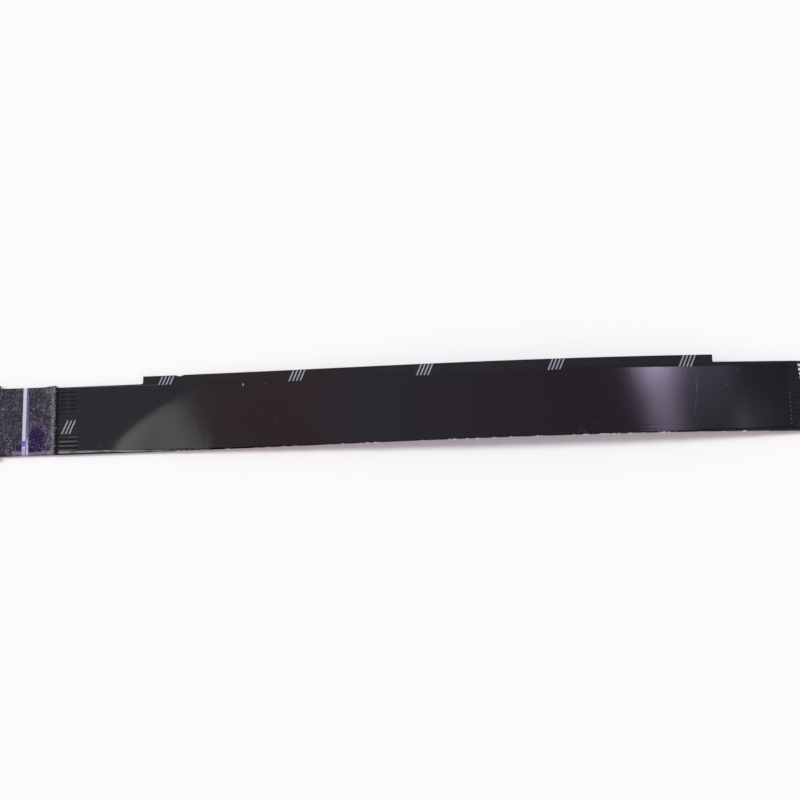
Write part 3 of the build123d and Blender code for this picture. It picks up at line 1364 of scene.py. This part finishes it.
@dataclass
class Studio:
    """The table, the soft lights and the camera."""

    camera_spot: Numbers = (18.891, -84.117, 288.230)
    azimuth: float = 11.787
    elevation: float = 73.223
    roll: float = -13.228
    lens: float = 121.03
    half_table: float = 1.5
    lamp_spot: Numbers = (-1.11, 0.35, 0.945)
    lamp_width: float = 19.0
    lamp_strength: float = 2.42
    lamp_colour: Colour = (0.92, 1.06, 1.0)
    left_sky: Colour = (0.43, 0.40, 0.48)
    right_sky: Colour = (0.18, 0.155, 0.20)
    walls: Colour = (0.72, 0.60, 0.66)
    front: Colour = (0.06, 0.055, 0.065)
    window: Colour = (11.6, 10.2, 14.8)
    bulb: Colour = (1.45, 1.27, 1.68)
    left_pane: Colour = (1.87, 2.06, 1.84)
    left_border: Colour = (2.5, 2.64, 2.4)
    right_pane: Colour = (1.6, 1.5, 1.6)
    backdrop: Colour = (0.96, 0.945, 0.97)

    def table(self) -> Piece:
        """The table under the cable."""
        corners = [Vector((x, y, 0.0)) for x, y in ((-1, -1), (1, -1), (1, 1), (-1, 1))]
        top = solid("table", [corner * self.half_table for corner in corners], [(0, 1, 2, 3)])
        top.data.materials.append(TableTop().make())
        return top

    def lamp(self) -> Piece:
        """Soft far light that shines on the cable, even over the whole table."""
        light = bpy.data.lights.new("key", "SUN")
        light.angle = radians(self.lamp_width)
        light.energy = self.lamp_strength
        light.color = self.lamp_colour
        lamp = bpy.data.objects.new("key", light)
        lamp.location = self.lamp_spot
        lamp.rotation_euler = Vector(self.lamp_spot).to_track_quat("Z", "Y").to_euler()
        bpy.context.scene.collection.objects.link(lamp)
        return lamp

    def surroundings(self, tree: Nodes) -> Socket:
        """Colour of each direction: walls, sky, and the panes that the films mirror.

        Args:
            tree: The world's node tree.

        Returns:
            Socket of the colour.
        """
        x, y, z = tree.axes(tree.node("TexCoord").outputs["Generated"])
        side = oval(x, 1.0, y - 0.2, 2.0) ** 0.5
        sky = tree.mix(self.left_sky, (x.above(-0.22, 0.22), self.right_sky))
        left = tree.mix(self.left_pane, (x.below(-0.245, -0.239), self.left_border))
        slant = x + (y - 0.27) * 0.7235
        glow = (y.above(0.1747, 0.309) * 0.414 + y.above(0.2887, 0.2967) * 1.5) & 1.0
        window = glow * slant.above(0.089, 0.1335) * x.below(0.1054, 0.1558)
        tail = x.within(0.13, 0.209, 0.03) * y.above(0.2538, 0.3438) * 0.182
        top = y.below(0.36, 0.40)
        panes = (
            (x.within(-0.45, 0.45, 0.25) * y.within(-0.8, -0.1, 0.12), self.front),
            (window * top, self.window), (tail * top, self.window),
            (oval(x - 0.205, 0.01, y - 0.267, 0.0105).below(0.2, 1.8), self.bulb),
            (x.within(-0.34, -0.2007, 0.03) * y.within(0.05, 0.55, 0.05), left),
            (x.within(0.27, 0.5, 0.03) * y.within(0.05, 0.5, 0.05), self.right_pane),
        )
        up = z.above(0.0, 0.1)
        shown = [(mask * up, colour) for mask, colour in panes]
        return tree.mix(sky, (side.above(0.3, 0.7), self.walls), *shown)

    def world(self) -> None:
        """Soft surroundings for the cable, and a plain backdrop for the camera."""
        world = bpy.data.worlds.new("surroundings")
        tree = Nodes(world)
        colours = (self.surroundings(tree), self.backdrop)
        soft, plain = (
            tree.node("Background", {}, {"Color": colour}).outputs[0] for colour in colours
        )
        camera = tree.node("LightPath").outputs["Is Camera Ray"]
        seen = tree.node("MixShader", {}, {0: camera, 1: soft, 2: plain})
        tree.node("OutputWorld", {}, {"Surface": seen.outputs[0]})
        bpy.context.scene.world = world

    def camera(self) -> Piece:
        """Camera at the photograph's angle."""
        data = bpy.data.cameras.new("camera")
        data.lens = self.lens
        data.sensor_width = 36.0
        data.clip_start = 0.01
        turn, rise, roll = radians(self.azimuth), radians(self.elevation), radians(self.roll)
        back = Vector((sin(turn) * cos(rise), -cos(turn) * cos(rise), sin(rise)))
        level = (-back).cross(Vector((0, 0, 1))).normalized()
        upright = level.cross(-back)
        right = level * cos(roll) + upright * sin(roll)
        up = upright * cos(roll) - level * sin(roll)
        camera = bpy.data.objects.new("camera", data)
        camera.location = Vector(self.camera_spot) * MM
        camera.rotation_euler = Matrix((right, up, back)).transposed().to_euler()
        bpy.context.scene.collection.objects.link(camera)
        bpy.context.scene.camera = camera
        return camera

    def build(self) -> None:
        """Set up the camera, the table and the light."""
        self.camera()
        self.table()
        self.world()
        self.lamp()
        bpy.context.scene.view_settings.view_transform = "Standard"


# Whole


def dress_nodes(ways: int) -> list[Piece]:
    """Give the carried-over nodes their materials.

    Args:
        ways: Number of conductors.

    Returns:
        The objects of the nodes.
    """
    tin, backing = Tin().make(), Backing().make()
    finishes = {"left_stiffener": backing, "right_stiffener": backing}
    finishes |= {f"conductor_{number:02d}": tin for number in range(1, ways + 1)}
    for name, material in finishes.items():
        for slot in bpy.data.objects[name].material_slots:
            slot.material = material
        LOG.info("%s: dressed", name)
    return [bpy.data.objects[name] for name in finishes]


def main() -> None:
    """Build the cable's pieces, from the route outward."""
    logging.basicConfig(level=logging.INFO, format="%(message)s")
    route = Route()
    Studio().build()
    laminate = Laminate(route)
    sleeve = Sleeve(laminate)
    # painted shade: near-black threads at the sleeve's border stand for the shade along it
    lint_and_shade = Frays(
        sleeve, "sleeve_border_shade", BorderShade(), 420, 0.016, (-0.12, 0.2), (0.08, 0.3), (-0.03, 0.0), 43
    )
    lower = laminate.lower_film()
    riders = [
        laminate.upper_film(), GlossStrip(laminate).build(), Hatching(laminate).build(),
        sleeve.build(), Frays(sleeve).build(), lint_and_shade.build(), Burrs(laminate).build(),
        *dress_nodes(laminate.ways),
    ]
    level = -laminate.film / 2
    tuple(route.spot(0.0, 0.0, level))
    [tuple(spot) for spot in route.middle_line(0.0, route.length, level)]


if __name__ == "__main__":
    main()
